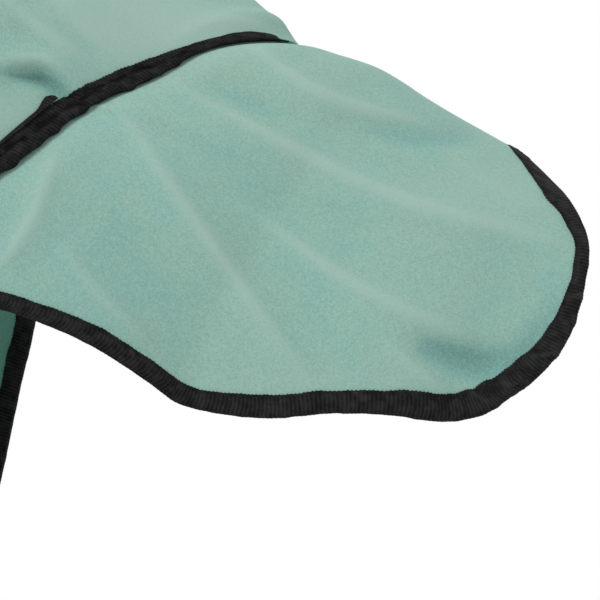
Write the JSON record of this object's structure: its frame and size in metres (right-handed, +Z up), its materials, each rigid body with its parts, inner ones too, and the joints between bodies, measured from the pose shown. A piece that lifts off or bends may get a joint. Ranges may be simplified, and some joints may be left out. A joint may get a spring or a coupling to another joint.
{
  "type": "horse rug",
  "caption": "Fleece horse rug in its worn, hollow form, with a tail flap, ribbed edge binding and one buckled chest strap.",
  "frame": {"origin": "underside of the rug in the middle of the back, where the horse carries it", "axes": "+X along the spine to the tail, +Y to the horse's right, +Z up"},
  "size_m": [2.0308, 0.6582, 0.8751],
  "materials": {
    "fleece": "mint green polyester fleece, matt, short pebbled nap",
    "tape": "black ribbed polyester binding tape, slightly lustrous",
    "webbing": "black flat woven webbing",
    "steel": "plain bright steel rod"
  },
  "bodies": {
    "root": {"left_body": "fleece", "right_body": "fleece", "tail_flap": "fleece", "left_body_binding": "tape", "right_body_binding": "tape", "flap_binding": "tape", "left_tape_end": "tape", "chest_strap": "webbing", "buckle_tab": "webbing", "strap_keeper": "webbing", "buckle_frame": "steel", "buckle_prong": "steel"}
  },
  "joints": []
}
